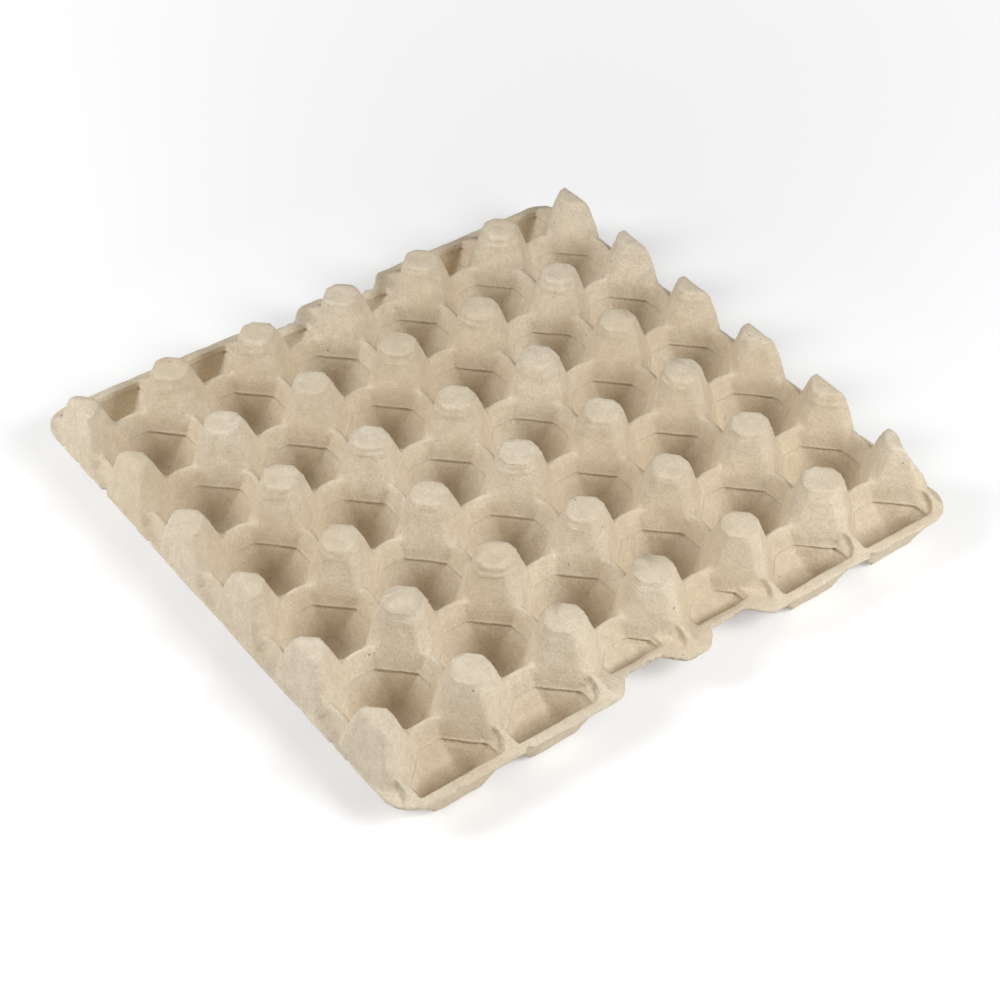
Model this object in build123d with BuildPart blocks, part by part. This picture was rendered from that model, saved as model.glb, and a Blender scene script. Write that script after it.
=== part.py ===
from build123d import *
import os

# Moulded pulp tray with a field of octagonal pockets between hollow posts.
# It is one thin-walled piece. Its form is drawn twice, once as the face of the
# mould that shapes the top and once a wall's thickness below, and the tray is
# what lies between the two.
# Origin: middle of the tray, on the surface that it stands on. X runs along the
# columns, Y along the rows, Z is up. All sizes are in millimetres.

# Field of pockets, with half a row more at both ends
columns = 6
rows = 5
pitch = 46.5
wall = 2.0

# Plan outline, measured outward from the outer posts and from the middle of the end rows
margin = 8.0
corner_radius = 15.0

# Heights of the top face above the ground
tray_height = 42.0
saddle_height = 25.7
rim_height = 18.7
crease_height = 16.5

# Posts, measured from their centres
post_half = 8.2
post_diagonal_half = 8.0
post_foot_half = 15.1
post_rounding = 3.0
outer_post_half = 1.0

# What stands between neighbouring pockets, and the pockets' floors
crease_land = 8.5
crease_diagonal_land = 30.8
saddle_land = 1.5
floor_half = 10.5
floor_diagonal_half = 12.9

# Rim, from the foot of the outer posts to the tray's edge
side_rim = 2.0
end_rim = 4.0

# Half recesses in the end rows
recess_rim = 4.8
recess_lean = 4.0
recess_floor_height = 3.5

# Finger notches in the middle of both ends, and the small recesses behind them
notch_columns = (-0.5, 0.5)
notch_depth = 8.5
notch_floor = 18.0
notch_mouth = 33.6
notch_rounding = 6.0
notch_rim = 4.0
notch_recess_half = 13.2
notch_recess_floor_half = 8.0
notch_recess_floor_height = 12.5

# Derived sizes
tray_length = columns * pitch + 2 * margin
tray_width = (rows + 1) * pitch + 2 * margin
outer_post_x = columns * pitch / 2
outer_post_y = rows * pitch / 2
end_row_y = outer_post_y + pitch / 2
crease_half = (pitch - crease_land) / 2
crease_diagonal_half = pitch / 2**0.5 - crease_diagonal_land / 2
saddle_half = (pitch - saddle_land) / 2
top_diagonal_half = pitch / 2**0.5 - post_diagonal_half
spare = 4 * wall
top_of_cuts = tray_height + spare
reach = tray_length + tray_width


def continued(low, high, height):
    """Half width at a height, on the straight line through two (half width, height) points."""
    return low[0] + (high[0] - low[0]) * (height - low[1]) / (high[1] - low[1])


# Half widths of a pocket where its walls are continued past the posts' tops
open_half = continued((crease_half, crease_height), (saddle_half, saddle_height), top_of_cuts)
open_diagonal_half = continued(
    (crease_diagonal_half, crease_height), (top_diagonal_half, tray_height), top_of_cuts
)


def both_sides(right):
    """The points of a section's right side, and their mirror images in return order."""
    return right + [(-x, z) for x, z in reversed(right)]


def crossed_sections(sections, inset):
    """Solid inside every one of several upright sections, each (turn, points), grown by inset."""
    with BuildPart() as form:
        for number, (turn, points) in enumerate(sections):
            with BuildSketch(Plane.XZ.rotated((0, 0, turn))):
                Polygon(*points, align=None)
                if inset:
                    offset(amount=inset, kind=Kind.INTERSECTION)
            extrude(amount=reach, both=True, mode=Mode.INTERSECT if number else Mode.ADD)
    return form.part


def diagonal_sections(floor_height):
    """The two sections across the diagonal walls of a pocket or a recess."""
    points = both_sides([
        (floor_diagonal_half, floor_height),
        (crease_diagonal_half, crease_height),
        (open_diagonal_half, top_of_cuts),
    ])
    return [(45, points), (-45, points)]


def pocket_form(inset):
    """Space of one pocket at the origin, from its floor up past the posts' tops."""
    points = both_sides([(floor_half, wall), (crease_half, crease_height), (open_half, top_of_cuts)])
    return crossed_sections([(0, points), (90, points)] + diagonal_sections(wall), inset)


def recess_form(half_floor, half_crease, floor_height, rim_width, inset):
    """Space of one half recess, centred in its row, with its outer wall towards -Y."""
    across = both_sides([
        (half_floor, floor_height),
        (half_crease, crease_height),
        (half_crease + open_half - crease_half, top_of_cuts),
    ])
    rim_at = rim_width - margin
    outer_foot = (rim_at + recess_lean, floor_height)
    along = [
        (floor_half, floor_height),
        (crease_half, crease_height),
        (open_half, top_of_cuts),
        (continued(outer_foot, (rim_at, rim_height), top_of_cuts), top_of_cuts),
        outer_foot,
    ]
    return crossed_sections([(0, across), (90, along)] + diagonal_sections(floor_height), inset)


def shelf_form(inset):
    """Space of a pocket that goes down to the rim only, as beside the tray and at its notches."""
    with BuildPart() as shelf:
        add(pocket_form(inset))
        split(bisect_by=Plane.XY.offset(rim_height - inset), keep=Keep.TOP)
    return shelf.part


def skyline(count, outside):
    """Section through a line of posts and the saddles between them.

    The points in outside lead on from the middle of the last post, and end on the rim.
    """
    inside = []
    for number in range(count + 1):
        middle = (number - count / 2) * pitch
        inside += [(middle - post_foot_half, saddle_height), (middle - post_half, tray_height)]
        inside += [(middle + post_half, tray_height), (middle + post_foot_half, saddle_height)]
    outside = outside + [(reach, rim_height), (reach, -spare)]
    return [(-x, z) for x, z in reversed(outside)] + inside[2:-2] + outside


# Across the columns the last post ends in a flat face, and along the rows it is whole
across_skyline = skyline(columns, [
    (outer_post_x + outer_post_half, tray_height),
    (tray_length / 2 - side_rim, rim_height),
])
along_skyline = skyline(rows, [
    (outer_post_y + post_half, tray_height),
    (outer_post_y + post_foot_half, saddle_height),
    (tray_width / 2 - end_rim, rim_height),
])

pocket_places = GridLocations(pitch, pitch, columns, rows)
side_places = GridLocations((columns + 1) * pitch, pitch, 2, rows + 2)


def end_places(in_notches):
    """Places of the recesses at both ends, turned so that each outer wall faces outward."""
    places = []
    for number in range(columns):
        column = number - (columns - 1) / 2
        if (column in notch_columns) == in_notches:
            places.append(Location((column * pitch, -end_row_y, 0)))
            places.append(Location((column * pitch, end_row_y, 0), (0, 0, 180)))
    return Locations(*places)


def moulded_form(inset):
    """Solid under the face that lies inset below the top face of the tray."""
    pocket = pocket_form(inset)
    shelf = shelf_form(inset)
    recess = recess_form(floor_half, crease_half, recess_floor_height, recess_rim, inset)
    notch_recess = recess_form(
        notch_recess_floor_half,
        notch_recess_half,
        notch_recess_floor_height,
        notch_depth + notch_rim,
        inset,
    )
    with BuildPart() as form:
        add(crossed_sections([(0, across_skyline), (90, along_skyline)], -inset))
        with pocket_places:
            add(pocket, mode=Mode.SUBTRACT)
        with side_places:
            add(shelf, mode=Mode.SUBTRACT)
        with end_places(in_notches=False):
            add(recess, mode=Mode.SUBTRACT)
        with end_places(in_notches=True):
            add(shelf, mode=Mode.SUBTRACT)
            add(notch_recess, mode=Mode.SUBTRACT)
    return form.part


with BuildSketch(Plane.XY.offset(-wall)) as outline:
    RectangleRounded(tray_length, tray_width, corner_radius)
    for side in (1, -1):
        for column in notch_columns:
            with Locations((column * pitch, side * tray_width / 2)):
                Polygon(
                    (-notch_mouth / 2, 0),
                    (-notch_floor / 2, -side * notch_depth),
                    (notch_floor / 2, -side * notch_depth),
                    (notch_mouth / 2, 0),
                    align=None,
                    mode=Mode.SUBTRACT,
                )
    notch_corners = outline.vertices().filter_by(lambda corner: abs(corner.X) < pitch)
    fillet(notch_corners, notch_rounding)

with BuildPart() as top_form:
    add(moulded_form(0))
    fillet(top_form.edges().group_by(Axis.Z)[-1], post_rounding)

with BuildPart() as tray:
    extrude(outline.sketch, amount=tray_height + 2 * wall)
    add(top_form.part, mode=Mode.INTERSECT)
    add(moulded_form(wall), mode=Mode.SUBTRACT)

os.makedirs("parts", exist_ok=True)
tray.part.label = "tray"
export_step(tray.part, "parts/tray.step")
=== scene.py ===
"""Moulded pulp tray in a plain studio: the skin, its finish, the light and the camera.

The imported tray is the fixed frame. Its mesh is re-cut into a fine skin, softened as wet pulp
is on its mould, marked and frayed where the real tray is, and dressed in a pulp finish.
"""

import logging
import math
from abc import ABC, abstractmethod
from dataclasses import dataclass, field
from enum import Enum

import bmesh
import bpy
import numpy as np
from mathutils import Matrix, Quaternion, Vector


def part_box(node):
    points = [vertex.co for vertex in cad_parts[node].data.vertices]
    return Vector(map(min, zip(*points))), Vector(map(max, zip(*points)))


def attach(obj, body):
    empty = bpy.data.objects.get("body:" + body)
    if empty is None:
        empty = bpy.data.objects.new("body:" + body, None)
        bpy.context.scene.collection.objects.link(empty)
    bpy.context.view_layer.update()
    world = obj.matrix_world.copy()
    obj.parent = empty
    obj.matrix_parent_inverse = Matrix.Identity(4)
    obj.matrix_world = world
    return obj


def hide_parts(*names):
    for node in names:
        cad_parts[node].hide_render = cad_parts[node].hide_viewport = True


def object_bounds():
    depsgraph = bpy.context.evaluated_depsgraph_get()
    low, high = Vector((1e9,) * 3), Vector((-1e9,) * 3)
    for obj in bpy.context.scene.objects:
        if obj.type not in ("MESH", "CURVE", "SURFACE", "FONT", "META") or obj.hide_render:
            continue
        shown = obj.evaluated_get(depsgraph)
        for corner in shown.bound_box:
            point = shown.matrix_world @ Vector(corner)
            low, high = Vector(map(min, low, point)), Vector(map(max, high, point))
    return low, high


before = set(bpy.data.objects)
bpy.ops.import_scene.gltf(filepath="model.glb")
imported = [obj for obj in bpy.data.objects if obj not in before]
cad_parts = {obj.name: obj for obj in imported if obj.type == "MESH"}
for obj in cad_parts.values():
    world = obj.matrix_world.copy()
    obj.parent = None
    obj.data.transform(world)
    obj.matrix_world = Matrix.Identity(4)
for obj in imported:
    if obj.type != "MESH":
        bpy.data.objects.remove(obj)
CAD_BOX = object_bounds()

MM = 0.001
BODY = "root"
NODE = "tray"

log = logging.getLogger("pulp_tray")


class Detail(Enum):
    """How fine the skin is cut: edge of its cells in millimetres, and how many triangles stay."""

    DRAFT = (1.2, 90_000)
    FULL = (0.72, 197_000)

    @property
    def cell(self) -> float:
        """Edge of the skin's cells, in metres."""
        return self.value[0] * MM

    @property
    def triangles(self) -> int:
        """Triangles that the finished skin may have."""
        return self.value[1]


class TrayEnd(Enum):
    """The two ends of the tray that have half recesses and finger notches."""

    NEAR = -1
    FAR = 1


@dataclass(frozen=True)
class Lattice:
    """Where the posts and pockets stand, worked out from the frame's box, in metres.

    Args:
        low: Lowest corner of the tray.
        high: Highest corner of the tray.
        columns: Pockets along X.
        rows: Pockets along Y, without the half recesses.
        margin: Width of tray outside the outer posts' middles.
        foot_at: How far from its post's middle a foot runs into a saddle, and its height.
        foot_reach: How far that place reaches along the saddle, across it, and up and down.
    """

    low: Vector
    high: Vector
    columns: int = 6
    rows: int = 5
    margin: float = 8.0 * MM
    foot_at: tuple[float, float] = (15.6 * MM, 25.7 * MM)
    foot_reach: tuple[float, float, float] = (3.2 * MM, 3.5 * MM, 4.5 * MM)

    @property
    def pitch(self) -> float:
        """Distance between neighbouring posts."""
        return (self.high.x - self.low.x - 2 * self.margin) / self.columns

    @property
    def post_columns(self) -> np.ndarray:
        """X of each column of posts."""
        return (np.arange(self.columns + 1) - self.columns / 2) * self.pitch

    @property
    def post_rows(self) -> np.ndarray:
        """Y of each row of posts."""
        return (np.arange(self.rows + 1) - self.rows / 2) * self.pitch

    def feet(self, points: np.ndarray) -> np.ndarray:
        """How near each point is to where a post's foot runs into a saddle.

        Args:
            points: One row for each point, in metres.

        Returns:
            1 at such a place, falling to 0 a few millimetres away.
        """
        steps = points[:, :2] / self.pitch - (self.columns / 2, self.rows / 2)
        away = np.abs(steps - np.round(steps)) * self.pitch
        middle, height = self.foot_at
        along, across, upward = self.foot_reach
        share = bell(away.max(axis=1) - middle, along) * bell(away.min(axis=1), across)
        return share * bell(points[:, 2] - height, upward)


@dataclass(frozen=True)
class Waves:
    """A smooth random field, the sum of plane waves.

    Args:
        seed: Seed of the waves' directions and phases.
        length: Typical wave length, in metres.
        count: Number of waves.
        spread: Shortest and longest wave, as shares of the length.
    """

    seed: int
    length: float
    count: int = 24
    spread: tuple[float, float] = (0.7, 1.6)

    def at(self, points: np.ndarray) -> np.ndarray:
        """Value of the field at each point.

        Args:
            points: One row for each point, in metres.

        Returns:
            One value for each point, mostly between -1 and 1.
        """
        draw = np.random.default_rng(self.seed)
        aim = draw.normal(size=(self.count, 3))
        aim /= np.linalg.norm(aim, axis=1, keepdims=True)
        lengths = self.length * draw.uniform(*self.spread, self.count)
        phases = draw.uniform(0, 2 * math.pi, self.count)
        total = np.zeros(len(points))
        for direction, length, phase in zip(aim, lengths, phases):
            total += np.sin(points @ direction * (2 * math.pi / length) + phase)
        return total / math.sqrt(self.count)


def bell(distance: np.ndarray, width: float) -> np.ndarray:
    """A smooth bump that is 1 at distance 0 and falls away over about its width."""
    return np.exp(-((distance / width) ** 2))


def ramp(value: np.ndarray, start: float, end: float) -> np.ndarray:
    """0 before start, 1 after end, and smooth between them."""
    share = np.clip((value - start) / (end - start), 0, 1)
    return share * share * (3 - 2 * share)


@dataclass(frozen=True)
class Mark(ABC):
    """Something that moulding, drying or trimming leaves on the skin."""

    @abstractmethod
    def moves(self, points: np.ndarray, normals: np.ndarray, lattice: Lattice) -> np.ndarray:
        """How far each point of the skin moves.

        Args:
            points: The skin's points, one row each, in metres.
            normals: The skin's normals there.
            lattice: Where the posts stand.

        Returns:
            One move for each point, in metres.
        """


@dataclass(frozen=True)
class FootDent(Mark):
    """The pointed dent beside the foot of each end post, with a crest along its inner edge.

    Args:
        course: How far the pulp is pressed sideways, as pairs of distance out from the tray's
            middle and push.
        sink: How far it is pressed down, for each metre that it is pressed sideways.
        valley: How far the dent lies beside the post's middle where the foot begins, and how
            far below the foot's top.
        slant: How much nearer it comes to the post's middle, for each metre outward.
        width: Half width of the dent.
        lip: How much further out and down than the valley its outer lip lies.
        lip_rise: How far the lip is pushed out, for each metre that the dent is pressed in.
        lip_lift: How far it is pushed up, for each metre that it is pushed out.
        lip_width: Half width of the lip.
        crest: How far the crest lies beside the post's middle.
        crest_rise: How far the crest stands up, for each metre that the dent is pressed in.
        crest_width: Half width of the crest.
        foot: Distance out and height where the foot's slope begins.
        fall: How steeply it falls.
    """

    course: tuple[tuple[float, float], ...] = (
        (131.5 * MM, 0.0),
        (133.5 * MM, 1.2 * MM),
        (135.5 * MM, 2.1 * MM),
        (137.5 * MM, 2.7 * MM),
        (139.5 * MM, 2.6 * MM),
        (141.0 * MM, 1.7 * MM),
        (142.5 * MM, 0.5 * MM),
        (144.0 * MM, 0.0),
    )
    sink: float = 0.3
    valley: tuple[float, float] = (3.2 * MM, 1.8 * MM)
    slant: float = 0.1
    width: float = 2.2 * MM
    lip: tuple[float, float] = (2.2 * MM, 1.9 * MM)
    lip_rise: float = 0.25
    lip_lift: float = 0.5
    lip_width: float = 0.9 * MM
    crest: float = 0.8 * MM
    crest_rise: float = 0.22
    crest_width: float = 1.0 * MM
    foot: tuple[float, float] = (131.3 * MM, 25.7 * MM)
    fall: float = 0.576

    def moves(self, points: np.ndarray, normals: np.ndarray, lattice: Lattice) -> np.ndarray:
        """Presses the dents in, and raises their lips and crests.

        Args:
            points: The skin's points, one row each, in metres.
            normals: The skin's normals there.
            lattice: Where the posts stand.

        Returns:
            One move for each point, in metres.
        """
        moves = np.zeros_like(points)
        for end in TrayEnd:
            outward = end.value * points[:, 1]
            push = np.interp(outward, *zip(*self.course))
            past = np.maximum(outward - self.foot[0], 0)
            top = self.foot[1] - self.fall * past
            for column in lattice.post_columns:
                beside = end.value * (points[:, 0] - column)
                valley = self.valley[0] - self.slant * past
                above = points[:, 2] - top
                away = np.hypot(beside - valley, above + self.valley[1])
                dent = push * bell(away, self.width)
                moves[:, 0] -= end.value * dent
                moves[:, 2] -= self.sink * dent
                away = np.hypot(
                    beside - valley - self.lip[0], above + self.valley[1] + self.lip[1]
                )
                lip = self.lip_rise * push * bell(away, self.lip_width)
                moves[:, 0] += end.value * lip
                moves[:, 2] += self.lip_lift * lip
                away = np.hypot(beside - self.crest, above)
                moves[:, 2] += self.crest_rise * push * bell(away, self.crest_width)
        return moves


@dataclass(frozen=True)
class FootBlend(Mark):
    """How the pulp runs from each post's foot into the saddles, with no knob where they meet.

    Args:
        sink: How far the foot's end sinks.
    """

    sink: float = 0.8 * MM

    def moves(self, points: np.ndarray, normals: np.ndarray, lattice: Lattice) -> np.ndarray:
        """Lowers both faces of the wall alike.

        Args:
            points: The skin's points, one row each, in metres.
            normals: The skin's normals there.
            lattice: Where the posts stand.

        Returns:
            One move for each point, in metres.
        """
        moves = np.zeros_like(points)
        moves[:, 2] = -self.sink * lattice.feet(points)
        return moves


@dataclass(frozen=True)
class WornPost(Mark):
    """The corner post whose outer near corner is pressed down and in.

    Args:
        across: X where the change begins, and where it is full.
        outward: How far towards the near end it begins, and is full.
        upward: Height where it begins, and is full.
        push: How far that corner moves.
    """

    across: tuple[float, float] = (134 * MM, 140.5 * MM)
    outward: tuple[float, float] = (111 * MM, 124 * MM)
    upward: tuple[float, float] = (22 * MM, 42 * MM)
    push: tuple[float, float, float] = (-3.2 * MM, 1.0 * MM, -3.2 * MM)

    def moves(self, points: np.ndarray, normals: np.ndarray, lattice: Lattice) -> np.ndarray:
        """Moves that corner of the post, both faces of the wall alike.

        Args:
            points: The skin's points, one row each, in metres.
            normals: The skin's normals there.
            lattice: Where the posts stand.

        Returns:
            One move for each point, in metres.
        """
        share = ramp(points[:, 0], *self.across) * ramp(-points[:, 1], *self.outward)
        share *= ramp(points[:, 2], *self.upward)
        return np.array(self.push) * share[:, None]


@dataclass(frozen=True)
class WitnessLine(Mark):
    """The fine ridge round every pocket, where the cup of the mould meets its posts.

    Args:
        height: Height of the ridge.
        profile: How far the wall stands proud, as pairs of rise above the ridge and depth.
        side_boost: How much more it stands proud on walls that face along X.
        upper: Upward part of the normal where a wall begins to have the ridge, and has all of it.
        least_level: Least level part of the normal that still counts in full.
        strength: Mean strength of the ridge, and how much that changes along its way.
        limits: Least and greatest strength.
        seed: Seed of how it changes.
        break_length: Length over which it changes.
        snap: How near a point has to lie to a cut to become part of it.
    """

    height: float = 16.5 * MM
    profile: tuple[tuple[float, float], ...] = (
        (-1.7 * MM, 0.0),
        (-0.7 * MM, -0.30 * MM),
        (-0.3 * MM, -0.10 * MM),
        (0.0, 0.46 * MM),
        (0.4 * MM, 0.12 * MM),
        (1.3 * MM, 0.0),
    )
    side_boost: float = 0.8
    upper: tuple[float, float] = (0.05, 0.2)
    least_level: float = 0.2
    strength: tuple[float, float] = (0.95, 0.3)
    limits: tuple[float, float] = (0.45, 1.25)
    seed: int = 31
    break_length: float = 16 * MM
    snap: float = 0.01 * MM

    def score(self, skin: bmesh.types.BMesh) -> None:
        """Cuts a level line into the upper skin at each height of the profile.

        Args:
            skin: The skin, which is changed.
        """
        reach = self.profile[-1][0] - self.profile[0][0]
        band = [
            face for face in skin.faces
            if face.normal.z > 0 and abs(face.calc_center_median().z - self.height) < reach
        ]
        edges = {edge for face in band for edge in face.edges}
        points = {point for face in band for point in face.verts}
        shape = [*points, *edges, *band]
        for rise, _ in self.profile:
            cut = bmesh.ops.bisect_plane(
                skin,
                geom=shape,
                dist=self.snap,
                plane_co=(0, 0, self.height + rise),
                plane_no=(0, 0, 1),
            )
            shape = cut["geom"]

    def moves(self, points: np.ndarray, normals: np.ndarray, lattice: Lattice) -> np.ndarray:
        """Pushes the walls out along the ridge and in below it.

        Args:
            points: The skin's points, one row each, in metres.
            normals: The skin's normals there.
            lattice: Where the posts stand.

        Returns:
            One move for each point, in metres.
        """
        rises, depths = zip(*self.profile)
        proud = np.interp(points[:, 2] - self.height, rises, depths)
        proud *= ramp(normals[:, 2], *self.upper)
        mean, change = self.strength
        waves = Waves(self.seed, self.break_length).at(points)
        proud *= np.clip(mean + change * waves, *self.limits)
        flat = normals * (1, 1, 0)
        flat /= np.maximum(np.linalg.norm(flat, axis=1, keepdims=True), self.least_level)
        proud *= 1 + self.side_boost * flat[:, 0] ** 2
        return flat * proud[:, None]


@dataclass(frozen=True)
class PostCap(Mark):
    """Each post's flat top: slightly dished, with a lip round it and a fold below the lip.

    Args:
        dish: How far the top's middle sinks, and the radius of the dish.
        dish_end: How far below the top the dish begins to end, and has ended.
        lip: How far the top's rounded edge is pushed out and up, at most.
        lip_least: Share of that which every post has.
        lip_tilt: Upward part of the surface's normal where the lip is proudest, and the spread.
        lip_drop: How far below the top the lip ends.
        lip_fade: Share of that drop where it begins to end.
        fold_drop: Mean drop of the fold, and how much it changes from post to post.
        fold_tilt: How much the fold may run downhill.
        fold_sag: How much lower it runs on the posts' broad faces.
        fold: How far the fold stands proud, at most, and its half width.
        fold_least: Share of that which every post has.
        fold_swing: Mean share of it round the post, and how much that swings.
        hollow: Depth of the hollow above the fold as a share of the fold's height, and how
            many of the fold's half widths above it.
        reach: How far from a post's middle its marks go.
        core: Least distance from the middle that counts in full.
        seed: Seed of the changes from post to post.
    """

    dish: tuple[float, float] = (0.35 * MM, 5.5 * MM)
    dish_end: tuple[float, float] = (1 * MM, 2 * MM)
    lip: tuple[float, float] = (0.75 * MM, 0.28 * MM)
    lip_least: float = 0.15
    lip_tilt: tuple[float, float] = (0.83, 0.13)
    lip_drop: float = 2.6 * MM
    lip_fade: float = 0.7
    fold_drop: tuple[float, float] = (3.9 * MM, 0.7 * MM)
    fold_tilt: float = 0.09
    fold_sag: float = 0.6 * MM
    fold: tuple[float, float] = (0.5 * MM, 0.6 * MM)
    fold_least: float = 0.3
    fold_swing: tuple[float, float] = (0.6, 0.4)
    hollow: tuple[float, float] = (0.9, 2.0)
    reach: float = 12.0 * MM
    core: float = 1 * MM
    seed: int = 41

    def moves(self, points: np.ndarray, normals: np.ndarray, lattice: Lattice) -> np.ndarray:
        """Dishes the tops, pushes their lips out and folds the walls below.

        Args:
            points: The skin's points, one row each, in metres.
            normals: The skin's normals there.
            lattice: Where the posts stand.

        Returns:
            One move for each point, in metres.
        """
        draw = np.random.default_rng(self.seed)
        lips = np.random.default_rng(self.seed + 1)
        moves = np.zeros_like(points)
        proud, width = self.fold
        steady, swing = self.fold_swing
        for column in lattice.post_columns:
            for row in lattice.post_rows:
                drop = self.fold_drop[0] + self.fold_drop[1] * draw.uniform(-1, 1)
                lean = self.fold_tilt * draw.uniform(-1, 1, 2)
                strength = proud * draw.uniform(self.fold_least, 1.0)
                phase = draw.uniform(0, 2 * math.pi)
                away = points[:, :2] - (column, row)
                near = (np.abs(away) < self.reach).all(axis=1) & (normals[:, 2] > 0)
                away = away[near]
                radius = np.linalg.norm(away, axis=1)
                outward = away / np.maximum(radius, self.core)[:, None]
                turn = np.arctan2(away[:, 1], away[:, 0])
                below = lattice.high.z - points[near, 2]
                fold_at = drop - away @ lean + self.fold_sag * np.sin(2 * turn) ** 2
                hollow = bell(below - fold_at + self.hollow[1] * width, width)
                fold = bell(below - fold_at, width) - self.hollow[0] * hollow
                fold *= strength * (steady + swing * np.sin(turn + phase))
                edge = bell(normals[near, 2] - self.lip_tilt[0], self.lip_tilt[1])
                edge *= 1 - ramp(below, self.lip_fade * self.lip_drop, self.lip_drop)
                edge *= lips.uniform(self.lip_least, 1.0)
                moves[near, :2] += outward * (fold + self.lip[0] * edge)[:, None]
                moves[near, 2] += self.lip[1] * edge
                top = 1 - ramp(below, *self.dish_end)
                moves[near, 2] -= self.dish[0] * top * bell(radius, self.dish[1])
        return moves


@dataclass(frozen=True)
class TrimmedEdge(Mark):
    """The rough cut edge all round the rim, rougher in the finger notches.

    Args:
        band: Heights between which the edge lies.
        steepest: Upward part of the normal up to which a face counts as cut.
        bite: How far the cut face is eaten into.
        notch_bite: The same in the finger notches.
        notch_half: Half width of the stretch with the notches, in posts' distances.
        rim_parts: How many times the rim's width goes into a posts' distance, roughly.
        fine_length: Wave length of the fine roughness.
        coarse_length: Wave length of the coarse roughness.
        waves: Number of waves in the fine roughness.
        rough: Mean share of the bite, and how much fine and coarse roughness change it.
        most: Greatest share of the bite.
        torn: X and Y of the largest tears.
        tear: How deep those go, and half their length.
        nicks: Number of smaller tears.
        nick: How deep those go, at most, and half their length.
        nick_span: How far from the middle of a side they go, as a share of its half.
        nick_least: Share of the depth which every nick has.
        nick_spread: Shortest and longest nick, as shares of the length.
        root: How far inward from the edge a tear begins.
        notch_floor: How far from the tray's middle a notch's rim begins, and where it ends.
        tongue: Where the tongue between the notches is past that, and its edge is whole again.
        ragged: How far the notches' edge is torn back, and the wave length of that.
        ragged_share: Mean share of it, how much the share changes, and its greatest value.
        seed: Seed of all of it.
    """

    band: tuple[float, float] = (15.3 * MM, 19.6 * MM)
    steepest: float = 0.35
    bite: float = 0.45 * MM
    notch_bite: float = 0.9 * MM
    notch_half: float = 1.0
    rim_parts: int = 3
    fine_length: float = 2.6 * MM
    coarse_length: float = 11 * MM
    waves: int = 40
    rough: tuple[float, float, float] = (0.5, 0.35, 0.35)
    most: float = 1.3
    torn: tuple[tuple[float, float], ...] = (
        (-86.5 * MM, -147.5 * MM),
        (97.0 * MM, -147.5 * MM),
        (-147.5 * MM, 86.0 * MM),
    )
    tear: tuple[float, float] = (2.1 * MM, 1.4 * MM)
    nicks: int = 18
    nick: tuple[float, float] = (1.0 * MM, 1.2 * MM)
    nick_span: float = 0.85
    nick_least: float = 0.3
    nick_spread: tuple[float, float] = (0.5, 1.3)
    root: float = 4.0 * MM
    notch_floor: tuple[float, float] = (135.5 * MM, 139.0 * MM)
    tongue: tuple[float, float] = (140.0 * MM, 142.5 * MM)
    ragged: tuple[float, float] = (1.1 * MM, 4.5 * MM)
    ragged_share: tuple[float, float, float] = (0.3, 0.8, 1.2)
    seed: int = 21

    def moves(self, points: np.ndarray, normals: np.ndarray, lattice: Lattice) -> np.ndarray:
        """Bites into the edge and tears it back, unevenly.

        Args:
            points: The skin's points, one row each, in metres.
            normals: The skin's normals there.
            lattice: Where the posts stand.

        Returns:
            One move for each point, in metres.
        """
        upright = 1 - ramp(np.abs(normals[:, 2]), self.steepest, 2 * self.steepest)
        level = (points[:, 2] > self.band[0]) & (points[:, 2] < self.band[1])
        outward = (points[:, :2] * normals[:, :2]).sum(axis=1) > 0
        rim = lattice.high.x - lattice.pitch / self.rim_parts
        at_rim = np.abs(points[:, :2]).max(axis=1) > rim
        notches = np.abs(points[:, 0]) < lattice.pitch * self.notch_half
        bite = np.where(notches & (np.abs(points[:, 1]) > rim), self.notch_bite, self.bite)
        mean, fine, coarse = self.rough
        rough = mean + fine * Waves(self.seed, self.fine_length, self.waves).at(points)
        rough += coarse * Waves(self.seed + 1, self.coarse_length).at(points)
        depth = bite * np.clip(rough, 0, self.most)
        depth *= upright * (level & outward & at_rim)
        moves = -normals * depth[:, None]
        moves[:, :2] += self.tears(points, lattice.high.x) * level[:, None]
        moves[:, 1] -= np.sign(points[:, 1]) * self.raggedness(points) * (level & notches)
        return moves

    def tears(self, points: np.ndarray, half: float) -> np.ndarray:
        """How far each point moves in X and Y because of the tears.

        Args:
            points: The skin's points, in metres.
            half: Half width of the tray.

        Returns:
            One row for each point.
        """
        draw = np.random.default_rng(self.seed + 2)
        tears = [(np.array(place), *self.tear) for place in self.torn]
        span = self.nick_span
        for _ in range(self.nicks):
            place = np.array([draw.uniform(-span, span), draw.choice([-1, 1])]) * half
            place = place[::draw.choice([-1, 1])]
            depth = self.nick[0] * draw.uniform(self.nick_least, 1)
            length = self.nick[1] * draw.uniform(*self.nick_spread)
            tears.append((place, depth, length))
        moves = np.zeros((len(points), 2))
        for place, depth, length in tears:
            axis = int(np.abs(place).argmax())
            side = np.sign(place[axis])
            share = bell(points[:, 1 - axis] - place[1 - axis], length)
            share *= ramp(side * points[:, axis], half - self.root, half)
            moves[:, axis] -= side * depth * share
        return moves

    def raggedness(self, points: np.ndarray) -> np.ndarray:
        """How far the notches' edge is torn back at each point.

        Args:
            points: The skin's points, in metres.

        Returns:
            One distance for each point, towards the tray's middle.
        """
        depth, length = self.ragged
        mean, change, most = self.ragged_share
        waves = Waves(self.seed + 3, length, self.waves).at(points * (1, 1, 0))
        outward = np.abs(points[:, 1])
        share = ramp(outward, *self.notch_floor) * (1 - ramp(outward, *self.tongue))
        return depth * share * np.clip(mean + change * waves, 0, most)


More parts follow.
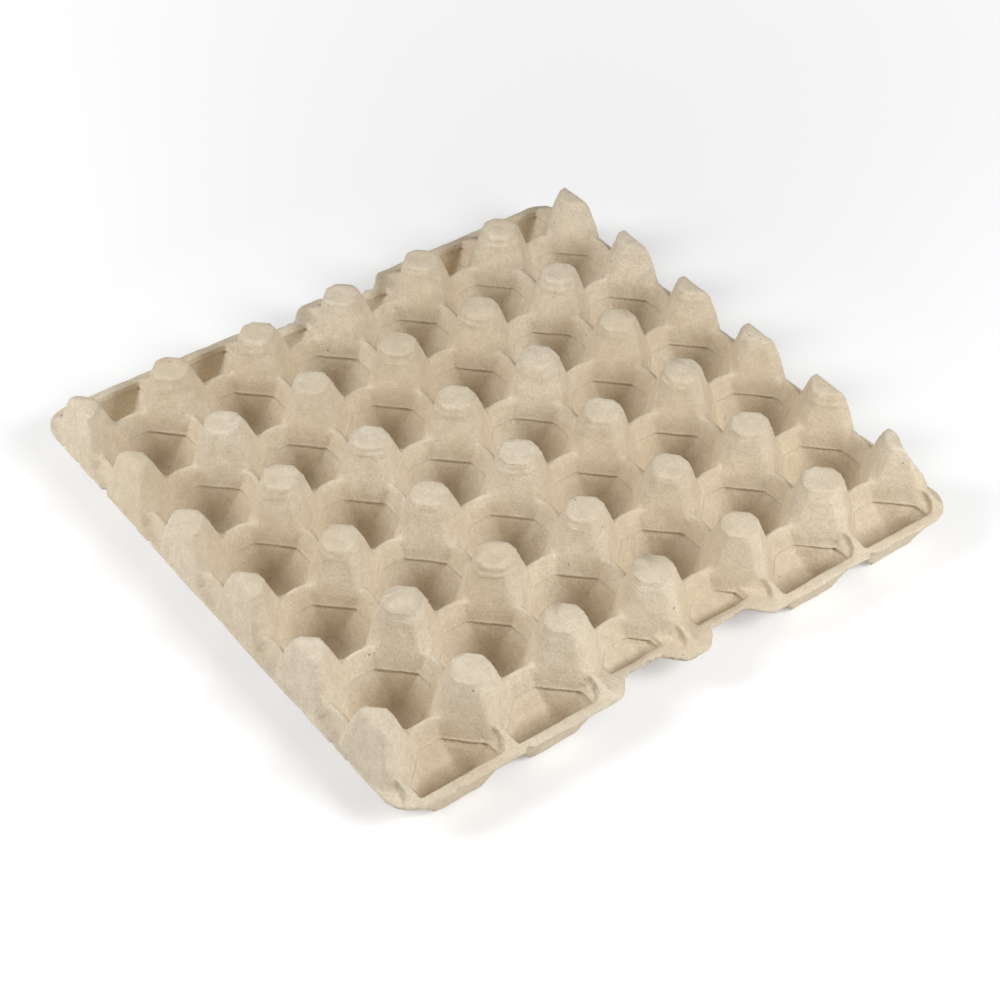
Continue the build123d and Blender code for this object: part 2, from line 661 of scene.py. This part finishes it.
@dataclass(frozen=True)
class Lumps(Mark):
    """Uneven thickness of the pulp itself.

    Args:
        coarse: Height of the broad lumps.
        coarse_length: Their wave length.
        coarse_waves: Number of waves that they are made of.
        fine: Height of the fine lumps.
        fine_length: Their wave length.
        fine_waves: Number of waves that they are made of.
        seed: Seed of both.
    """

    coarse: float = 0.12 * MM
    coarse_length: float = 14 * MM
    coarse_waves: int = 40
    fine: float = 0.07 * MM
    fine_length: float = 4 * MM
    fine_waves: int = 60
    seed: int = 11

    def moves(self, points: np.ndarray, normals: np.ndarray, lattice: Lattice) -> np.ndarray:
        """Moves the surface along its normals.

        Args:
            points: The skin's points, one row each, in metres.
            normals: The skin's normals there.
            lattice: Where the posts stand.

        Returns:
            One move for each point, in metres.
        """
        broad = Waves(self.seed, self.coarse_length, self.coarse_waves)
        small = Waves(self.seed + 1, self.fine_length, self.fine_waves)
        swell = self.coarse * broad.at(points)
        swell += self.fine * small.at(points)
        return normals * swell[:, None]


@dataclass(frozen=True)
class Sway(Mark):
    """How the whole sheet wanders out of true as it dries, more so further up.

    Args:
        amount: How far the posts' tops move.
        length: Wave length over which that changes.
        seed: Seed of the first axis. The other two have the seeds after it.
    """

    amount: float = 0.45 * MM
    length: float = 80 * MM
    seed: int = 3

    def moves(self, points: np.ndarray, normals: np.ndarray, lattice: Lattice) -> np.ndarray:
        """Moves both faces alike, so the wall keeps its thickness.

        Args:
            points: The skin's points, one row each, in metres.
            normals: The skin's normals there.
            lattice: Where the posts stand.

        Returns:
            One move for each point, in metres.
        """
        height = self.amount * ramp(points[:, 2], 0.0, lattice.high.z)
        parts = [Waves(self.seed + axis, self.length).at(points) for axis in range(3)]
        return np.stack(parts, axis=1) * height[:, None]


@dataclass
class TraySkin:
    """The visible tray: one closed skin over the frame's tray, worked like pressed pulp.

    Args:
        lattice: Where the posts stand.
        detail: How fine the skin is cut.
        weld: Distance within which the frame's points are merged.
        softening: Passes of evening out, each of them a step in and a step out.
        in_and_out: How far those two steps go.
        belly_softening: Further passes at the pockets' bottoms.
        belly: Heights below which those passes work fully, and above which they don't work.
        belly_steps: Steps in which their work grows between those heights.
        foot_share: How much of that work the feet of the posts get.
        room: How far the skin stays inside the frame's box.
        line: The witness line, which is scored into the skin before the marks are made.
        marks: What moulding, drying and trimming leave.

    Attributes:
        piece: The skin's object, from its first cut to its finished shape.
    """

    lattice: Lattice
    detail: Detail
    weld: float = 0.001 * MM
    softening: int = 3
    in_and_out: tuple[float, float] = (0.5, -0.4)
    belly_softening: int = 24
    belly: tuple[float, float] = (5 * MM, 11 * MM)
    belly_steps: int = 8
    foot_share: float = 0.9
    room: float = 0.01 * MM
    line: WitnessLine = WitnessLine()
    marks: tuple[Mark, ...] = (
        FootDent(),
        FootBlend(),
        PostCap(),
        WornPost(),
        TrimmedEdge(),
        Lumps(),
        Sway(),
    )
    piece: bpy.types.Object = field(init=False)

    def build(self) -> bpy.types.Object:
        """Makes the skin in its final shape and puts it in place of the frame's tray.

        Returns:
            The finished piece.
        """
        self.recut()
        self.soften_bellies()
        self.score()
        self.leave_marks()
        self.thin_out()
        self.piece.data.polygons.foreach_set("use_smooth", [True] * len(self.piece.data.polygons))
        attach(self.piece, BODY)
        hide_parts(NODE)
        return self.piece

    def recut(self) -> None:
        """Copies the frame's tray, merged and re-cut into small even cells with soft edges."""
        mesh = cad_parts[NODE].data.copy()
        mesh.materials.clear()
        copy = bmesh.new()
        copy.from_mesh(mesh)
        bmesh.ops.remove_doubles(copy, verts=copy.verts, dist=self.weld)
        copy.to_mesh(mesh)
        copy.free()
        self.piece = bpy.data.objects.new("moulded_tray", mesh)
        bpy.context.scene.collection.objects.link(self.piece)
        cells = self.piece.modifiers.new("cells", "REMESH")
        cells.mode = "VOXEL"
        cells.voxel_size = self.detail.cell
        for _ in range(self.softening):
            for factor in self.in_and_out:
                even = self.piece.modifiers.new("even", "SMOOTH")
                even.factor = factor
                even.iterations = 1
        self.bake()

    def bake(self) -> None:
        """Puts the result of the piece's modifiers into its mesh and takes them off."""
        shown = self.piece.evaluated_get(bpy.context.evaluated_depsgraph_get())
        finished = bpy.data.meshes.new_from_object(shown)
        finished.name = self.piece.name
        self.piece.modifiers.clear()
        rough = self.piece.data
        self.piece.data = finished
        bpy.data.meshes.remove(rough)

    def soften_bellies(self) -> None:
        """Rounds the pockets' bottoms and the posts' feet more than the rest, on both sides."""
        points = self.points()
        group = self.piece.vertex_groups.new(name="belly")
        low = 1 - ramp(points[:, 2], *self.belly)
        low = np.maximum(low, self.foot_share * self.lattice.feet(points))
        steps = self.belly_steps
        for step in range(1, steps + 1):
            chosen = np.nonzero(np.round(low * steps) == step)[0]
            group.add(chosen.tolist(), step / steps, "REPLACE")
        soften = self.piece.modifiers.new("soften", "SMOOTH")
        soften.iterations = self.belly_softening
        soften.vertex_group = group.name
        self.bake()

    def points(self) -> np.ndarray:
        """Reads where the skin's points are.

        Returns:
            One row for each point, in metres.
        """
        mesh = self.piece.data
        flat = np.empty(len(mesh.vertices) * 3, np.float32)
        mesh.vertices.foreach_get("co", flat)
        return flat.reshape(-1, 3).astype(float)

    def score(self) -> None:
        """Cuts the lines along which the witness line will stand."""
        skin = bmesh.new()
        skin.from_mesh(self.piece.data)
        self.line.score(skin)
        skin.to_mesh(self.piece.data)
        skin.free()

    def leave_marks(self) -> None:
        """Moves the skin's points as the marks say, and keeps them in the frame's box."""
        mesh = self.piece.data
        points = self.points()
        flat = np.empty(len(mesh.vertices) * 3, np.float32)
        mesh.vertex_normals.foreach_get("vector", flat)
        normals = flat.reshape(-1, 3).astype(float)
        moved = points.copy()
        for mark in (self.line, *self.marks):
            moved += mark.moves(points, normals, self.lattice)
        self.put(moved)

    def put(self, points: np.ndarray) -> None:
        """Moves the skin's points to new places, held just inside the frame's box.

        Args:
            points: The new places, one row each, in metres.
        """
        low = np.array(self.lattice.low) + self.room
        high = np.array(self.lattice.high) - self.room
        held = np.clip(points, low, high).astype(np.float32)
        self.piece.data.vertices.foreach_set("co", held.ravel())
        self.piece.data.update()

    def thin_out(self) -> None:
        """Takes away triangles where the skin is flat, until it is within its budget."""
        triangles = sum(len(face.vertices) - 2 for face in self.piece.data.polygons)
        fewer = self.piece.modifiers.new("fewer", "DECIMATE")
        fewer.ratio = min(1.0, self.detail.triangles / triangles)
        fewer.use_collapse_triangulate = True
        self.bake()
        self.put(self.points())


@dataclass(frozen=True)
class Clouds:
    """Cloudy noise.

    Args:
        size: About how large its features are, in metres.
        detail: How many finer layers it has.
        roughness: How strong those are.
    """

    size: float
    detail: float
    roughness: float = 0.5


@dataclass(frozen=True)
class Fibres:
    """Noise drawn out into streaks.

    Args:
        width: Width of the streaks, in metres.
        length: Length of the streaks, in metres.
        turns: Angles of each layer of them.
        detail: How many finer layers the noise has.
        bend: How much the streaks bend.
    """

    width: float
    length: float
    turns: tuple[tuple[float, float, float], ...]
    detail: float = 2.0
    bend: float = 0.6


@dataclass(frozen=True)
class Specks:
    """One kind of dark speck.

    Args:
        apart: Distance between them.
        radius: Radius of the largest.
        strength: How strong their colour is.
        core: Share of the radius within which a speck is darkest.
    """

    apart: float
    radius: float
    strength: float
    core: float = 0.6


@dataclass(frozen=True)
class PulpFinish:
    """Matt recycled pulp: mottled, with fine fibres and a few dark specks.

    A range of noise is two of its values, one where a thing doesn't show and one where it
    shows most.

    Args:
        pale: Colour of the lightest pulp.
        dark: Colour of the darkest mottling.
        warm: Colour of the warmer, yellower patches.
        speck: Colour of the specks.
        patch: Noise of those patches.
        patch_range: Range of noise from no patch to a patch.
        mottle: Noise of the mottling.
        mottle_range: Range of noise from none to dark mottling.
        mottle_share: How dark it gets.
        grain: Noise of the grain.
        grain_range: Range of noise from none to dark grain.
        grain_share: How dark it gets.
        fibres: Noise of the fibres, in two layers.
        fibre_range: Range of both layers together from no fibre to a fibre.
        fibre_share: How pale the fibres get.
        warp: Noise of the wobble in the specks' outlines.
        warp_reach: How far that wobble goes.
        specks: The kinds of specks.
        specular: How strongly the pulp shines.
        roughness: Roughness in the grain's dark parts and in its pale parts.
        roughness_range: Range of the grain's noise between them.
        heights: How high mottling, grain and fibres stand in the bump, in parts.
        bump: Strength of the bump, and how far it reaches.
    """

    pale: tuple[float, float, float] = (0.815, 0.722, 0.575)
    dark: tuple[float, float, float] = (0.60, 0.495, 0.355)
    warm: tuple[float, float, float] = (0.755, 0.642, 0.476)
    speck: tuple[float, float, float] = (0.17, 0.13, 0.085)
    patch: Clouds = Clouds(45 * MM, 2)
    patch_range: tuple[float, float] = (0.38, 0.62)
    mottle: Clouds = Clouds(5 * MM, 5, 0.66)
    mottle_range: tuple[float, float] = (0.60, 0.36)
    mottle_share: float = 0.45
    grain: Clouds = Clouds(1.1 * MM, 3, 0.62)
    grain_range: tuple[float, float] = (0.56, 0.34)
    grain_share: float = 0.55
    fibres: Fibres = Fibres(0.5 * MM, 7 * MM, ((0.4, 0.2, 0.0), (1.5, 0.3, 0.8)))
    fibre_range: tuple[float, float] = (1.15, 1.4)
    fibre_share: float = 0.4
    warp: Clouds = Clouds(0.7 * MM, 1)
    warp_reach: float = 0.6 * MM
    specks: tuple[Specks, ...] = (
        Specks(7 * MM, 0.6 * MM, 0.8),
        Specks(3.4 * MM, 0.3 * MM, 0.6),
    )
    specular: float = 0.25
    roughness: tuple[float, float] = (0.98, 0.86)
    roughness_range: tuple[float, float] = (0.3, 0.7)
    heights: tuple[float, float, float] = (0.45, 0.75, 0.15)
    bump: tuple[float, float] = (0.75, 0.6 * MM)


class NodeSheet:
    """A material's nodes, made and joined one after another."""

    def __init__(self, name: str) -> None:
        """Makes the material, and the node that gives each point's place on its object.

        Args:
            name: Name of the material.
        """
        self.material = bpy.data.materials.new(name)
        self.material.use_nodes = True
        self.nodes = self.material.node_tree.nodes
        self.links = self.material.node_tree.links
        self.place = self.nodes.new("ShaderNodeTexCoord").outputs["Object"]

    def node(self, kind: str, **values: object) -> bpy.types.Node:
        """Adds a node.

        Args:
            kind: The node's type.
            values: Settings of the node, and its inputs by name, with _ for each space, or by
                place, as i0 for the first. An input may be a number, a colour or another node's
                socket.

        Returns:
            The new node.
        """
        made = self.nodes.new(kind)
        for name, value in values.items():
            if name in made.bl_rna.properties:
                setattr(made, name, value)
                continue
            socket = made.inputs[int(name[1:]) if name[1:].isdigit() else name.replace("_", " ")]
            if isinstance(value, bpy.types.NodeSocket):
                self.links.new(value, socket)
            else:
                socket.default_value = value
        return made

    def clouds(self, kind: Clouds, output: str = "Fac") -> bpy.types.NodeSocket:
        """Makes cloudy noise.

        Args:
            kind: What the noise is like.
            output: Fac for one value at each point, or Color for three.

        Returns:
            The noise.
        """
        made = self.node(
            "ShaderNodeTexNoise",
            Vector=self.place,
            Scale=1 / kind.size,
            Detail=kind.detail,
            Roughness=kind.roughness,
        )
        return made.outputs[output]

    def fibres(self, kind: Fibres) -> bpy.types.NodeSocket:
        """Makes layers of streaks, laid over each other.

        Args:
            kind: What the streaks are like.

        Returns:
            The sum of the layers' noise.
        """
        layers = []
        for turn in kind.turns:
            laid = self.node(
                "ShaderNodeMapping",
                Vector=self.place,
                Rotation=turn,
                Scale=(1 / kind.width, 1 / kind.width, 1 / kind.length),
            )
            made = self.node(
                "ShaderNodeTexNoise",
                Vector=laid.outputs[0],
                Scale=1.0,
                Detail=kind.detail,
                Distortion=kind.bend,
            )
            layers.append(made.outputs["Fac"])
        return self.sum(*layers)

    def fit(
        self,
        value: bpy.types.NodeSocket,
        taken: tuple[float, float],
        given: tuple[float, float],
    ) -> bpy.types.NodeSocket:
        """Maps one range of values to another, and holds them there.

        Args:
            value: The value to map.
            taken: The range that it comes from.
            given: The range that it goes to.

        Returns:
            The mapped value.
        """
        made = self.node(
            "ShaderNodeMapRange",
            Value=value,
            From_Min=taken[0],
            From_Max=taken[1],
            To_Min=given[0],
            To_Max=given[1],
        )
        return made.outputs[0]

    def sum(self, *values: bpy.types.NodeSocket) -> bpy.types.NodeSocket:
        """Adds values up.

        Args:
            values: The values.

        Returns:
            Their sum.
        """
        total = values[0]
        for value in values[1:]:
            total = self.node("ShaderNodeMath", operation="ADD", i0=total, i1=value).outputs[0]
        return total

    def blend(
        self, share: bpy.types.NodeSocket, below: object, above: object
    ) -> bpy.types.NodeSocket:
        """Mixes two colours, each of them three numbers or another node's socket.

        Args:
            share: How much of the second colour there is.
            below: The first colour.
            above: The second colour.

        Returns:
            The mixed colour.
        """
        made = self.nodes.new("ShaderNodeMix")
        made.data_type = "RGBA"
        self.links.new(share, made.inputs[0])
        for socket, colour in ((made.inputs[6], below), (made.inputs[7], above)):
            if isinstance(colour, bpy.types.NodeSocket):
                self.links.new(colour, socket)
            else:
                socket.default_value = (*colour, 1)
        return made.outputs[2]


def pulp_material(finish: PulpFinish) -> bpy.types.Material:
    """Makes the pulp's material.

    Args:
        finish: What the pulp looks like.

    Returns:
        The new material.
    """
    whole = (0.0, 1.0)
    sheet = NodeSheet("moulded_pulp")
    shader = sheet.nodes["Principled BSDF"]
    shader.inputs["Specular IOR Level"].default_value = finish.specular

    patches = sheet.fit(sheet.clouds(finish.patch), finish.patch_range, whole)
    mottle = sheet.clouds(finish.mottle)
    grain = sheet.clouds(finish.grain)
    hairs = sheet.fit(sheet.fibres(finish.fibres), finish.fibre_range, whole)

    colour = sheet.blend(patches, finish.pale, finish.warm)
    share = sheet.fit(mottle, finish.mottle_range, (0.0, finish.mottle_share))
    colour = sheet.blend(share, colour, finish.dark)
    share = sheet.fit(grain, finish.grain_range, (0.0, finish.grain_share))
    colour = sheet.blend(share, colour, finish.dark)
    share = sheet.fit(hairs, whole, (0.0, finish.fibre_share))
    colour = sheet.blend(share, colour, finish.pale)
    colour = add_specks(sheet, colour, finish)
    sheet.links.new(colour, shader.inputs["Base Color"])
    roughness = sheet.fit(grain, finish.roughness_range, finish.roughness)
    sheet.links.new(roughness, shader.inputs["Roughness"])

    layers = zip((mottle, grain, hairs), finish.heights)
    heights = sheet.sum(*(sheet.fit(layer, whole, (0.0, height)) for layer, height in layers))
    strength, distance = finish.bump
    bump = sheet.node("ShaderNodeBump", Strength=strength, Distance=distance, Height=heights)
    sheet.links.new(bump.outputs["Normal"], shader.inputs["Normal"])
    return sheet.material


def add_specks(
    sheet: NodeSheet, colour: bpy.types.NodeSocket, finish: PulpFinish
) -> bpy.types.NodeSocket:
    """Lays dark specks with uneven outlines over a colour.

    Args:
        sheet: The material's nodes, to which these are added.
        colour: The colour below.
        finish: What the pulp looks like.

    Returns:
        The colour with the specks.
    """
    warp = sheet.clouds(finish.warp, "Color")
    shift = sheet.node(
        "ShaderNodeVectorMath", operation="SCALE", i0=warp, Scale=finish.warp_reach
    )
    place = sheet.node(
        "ShaderNodeVectorMath", operation="ADD", i0=sheet.place, i1=shift.outputs[0]
    )
    for kind in finish.specks:
        cells = sheet.node("ShaderNodeTexVoronoi", Vector=place.outputs[0], Scale=1 / kind.apart)
        chance = sheet.node("ShaderNodeSeparateColor", i0=cells.outputs["Color"]).outputs[0]
        radius = kind.radius / kind.apart
        smaller = sheet.fit(chance, (0.0, 1.0), (0.0, radius))
        edge = sheet.sum(cells.outputs["Distance"], smaller)
        spot = sheet.fit(edge, (radius, kind.core * radius), (0.0, kind.strength))
        colour = sheet.blend(spot, colour, finish.speck)
    return colour


@dataclass(frozen=True)
class Camera:
    """The photograph's camera, worked out from the posts' tops.

    Args:
        eye: Where the camera stands.
        aim: Point on the floor that it looks at.
        roll: Turn about its own view, in degrees.
        lens: Focal length, in millimetres.
        sensor: Width of the sensor, in millimetres.
    """

    eye: tuple[float, float, float] = (-431.3 * MM, -597.7 * MM, 664.0 * MM)
    aim: tuple[float, float, float] = (1.5 * MM, -7.7 * MM, 0.0)
    roll: float = -0.27
    lens: float = 78.71
    sensor: float = 36.0

    def place(self) -> None:
        """Makes the camera and hands it to the scene."""
        data = bpy.data.cameras.new("camera")
        data.sensor_width = self.sensor
        data.lens = self.lens
        camera = bpy.data.objects.new("camera", data)
        camera.location = self.eye
        camera.rotation_mode = "QUATERNION"
        turn = Quaternion((0, 0, 1), math.radians(self.roll))
        view = Vector(self.aim) - Vector(self.eye)
        camera.rotation_quaternion = view.to_track_quat("-Z", "Y") @ turn
        bpy.context.scene.collection.objects.link(camera)
        bpy.context.scene.camera = camera


@dataclass(frozen=True)
class Lamp:
    """One soft studio lamp.

    Args:
        name: What it is called.
        place: Where it hangs, in metres.
        size: Edge of its square face, in metres.
        power: In watts.
    """

    name: str
    place: tuple[float, float, float]
    size: float
    power: float

    def hang(self, target: Vector) -> None:
        """Hangs the lamp so that it faces a target.

        Args:
            target: The point that it faces.
        """
        data = bpy.data.lights.new(self.name, "AREA")
        data.size = self.size
        data.energy = self.power
        lamp = bpy.data.objects.new(self.name, data)
        lamp.location = self.place
        aim = target - lamp.location
        lamp.rotation_mode = "QUATERNION"
        lamp.rotation_quaternion = aim.to_track_quat("-Z", "Y")
        bpy.context.scene.collection.objects.link(lamp)


@dataclass(frozen=True)
class Studio:
    """Pale floor, soft lamps and the world's light.

    Args:
        lamps: The lamps.
        world_strength: Strength of the light from all round.
        floor_size: Edge of the square floor, in metres.
        floor_colour: Its colour.
        glow_near: Distance from the tray's middle up to which the floor glows least for the
            camera, and how strongly it does.
        glow_far: Distance from which it glows most, and how strongly.
    """

    lamps: tuple[Lamp, ...] = (
        Lamp("right_lamp", (0.24, -0.72, 0.60), 0.45, 6.3),
        Lamp("left_lamp", (-0.68, 0.36, 0.60), 0.45, 5.5),
    )
    world_strength: float = 0.185
    floor_size: float = 8.0
    floor_colour: tuple[float, float, float] = (0.8, 0.8, 0.8)
    glow_near: tuple[float, float] = (0.25, 0.30)
    glow_far: tuple[float, float] = (0.9, 0.75)

    def build(self) -> None:
        """Makes the floor, the lamps and the world."""
        scene = bpy.context.scene
        scene.view_settings.view_transform = "Standard"
        self.lay_floor()
        self.light_world()
        middle = (CAD_BOX[0] + CAD_BOX[1]) / 2
        for lamp in self.lamps:
            lamp.hang(middle)

    def lay_floor(self) -> None:
        """Lays the plain floor under the tray."""
        plate = bmesh.new()
        bmesh.ops.create_grid(plate, x_segments=1, y_segments=1, size=self.floor_size / 2)
        mesh = bpy.data.meshes.new("floor")
        plate.to_mesh(mesh)
        plate.free()
        floor = bpy.data.objects.new("floor", mesh)
        bpy.context.scene.collection.objects.link(floor)
        sheet = NodeSheet("studio_floor")
        sheet.nodes.remove(sheet.nodes["Principled BSDF"])
        paint = sheet.node("ShaderNodeBsdfDiffuse", Color=(*self.floor_colour, 1))
        seen = sheet.node("ShaderNodeLightPath")
        away = sheet.node("ShaderNodeVectorMath", operation="LENGTH", i0=sheet.place)
        distances, strengths = zip(self.glow_near, self.glow_far)
        shine = sheet.fit(away.outputs["Value"], distances, strengths)
        shown = sheet.node(
            "ShaderNodeMath", operation="MULTIPLY", i0=shine, i1=seen.outputs["Is Camera Ray"]
        )
        glow = sheet.node("ShaderNodeEmission", Strength=shown.outputs[0])
        both = sheet.node("ShaderNodeAddShader", i0=paint.outputs[0], i1=glow.outputs[0])
        sheet.links.new(both.outputs[0], sheet.nodes["Material Output"].inputs["Surface"])
        mesh.materials.append(sheet.material)

    def light_world(self) -> None:
        """Gives the world its soft white light, and white for the camera."""
        world = bpy.data.worlds.new("studio")
        bpy.context.scene.world = world
        world.use_nodes = True
        nodes = world.node_tree.nodes
        links = world.node_tree.links
        sky = nodes["Background"]
        sky.inputs["Color"].default_value = (1, 1, 1, 1)
        sky.inputs["Strength"].default_value = self.world_strength
        wall = nodes.new("ShaderNodeBackground")
        wall.inputs["Color"].default_value = (1, 1, 1, 1)
        seen = nodes.new("ShaderNodeLightPath")
        mix = nodes.new("ShaderNodeMixShader")
        links.new(seen.outputs["Is Camera Ray"], mix.inputs["Fac"])
        links.new(sky.outputs[0], mix.inputs[1])
        links.new(wall.outputs[0], mix.inputs[2])
        links.new(mix.outputs[0], nodes["World Output"].inputs["Surface"])


def main() -> None:
    """Builds the tray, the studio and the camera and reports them."""
    logging.basicConfig(level=logging.INFO, format="%(name)s %(message)s")
    lattice = Lattice(*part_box(NODE))
    detail = Detail.FULL
    tray = TraySkin(lattice, detail).build()
    tray.data.materials.append(pulp_material(PulpFinish()))
    log.info("%s: %d triangles", tray.name, len(tray.data.polygons))
    studio = Studio()
    studio.build()
    log.info("studio: a floor and %d lamps", len(studio.lamps))
    camera = Camera()
    camera.place()
    log.info("camera: a lens of %.1f mm", camera.lens)


if __name__ == "__main__":
    main()
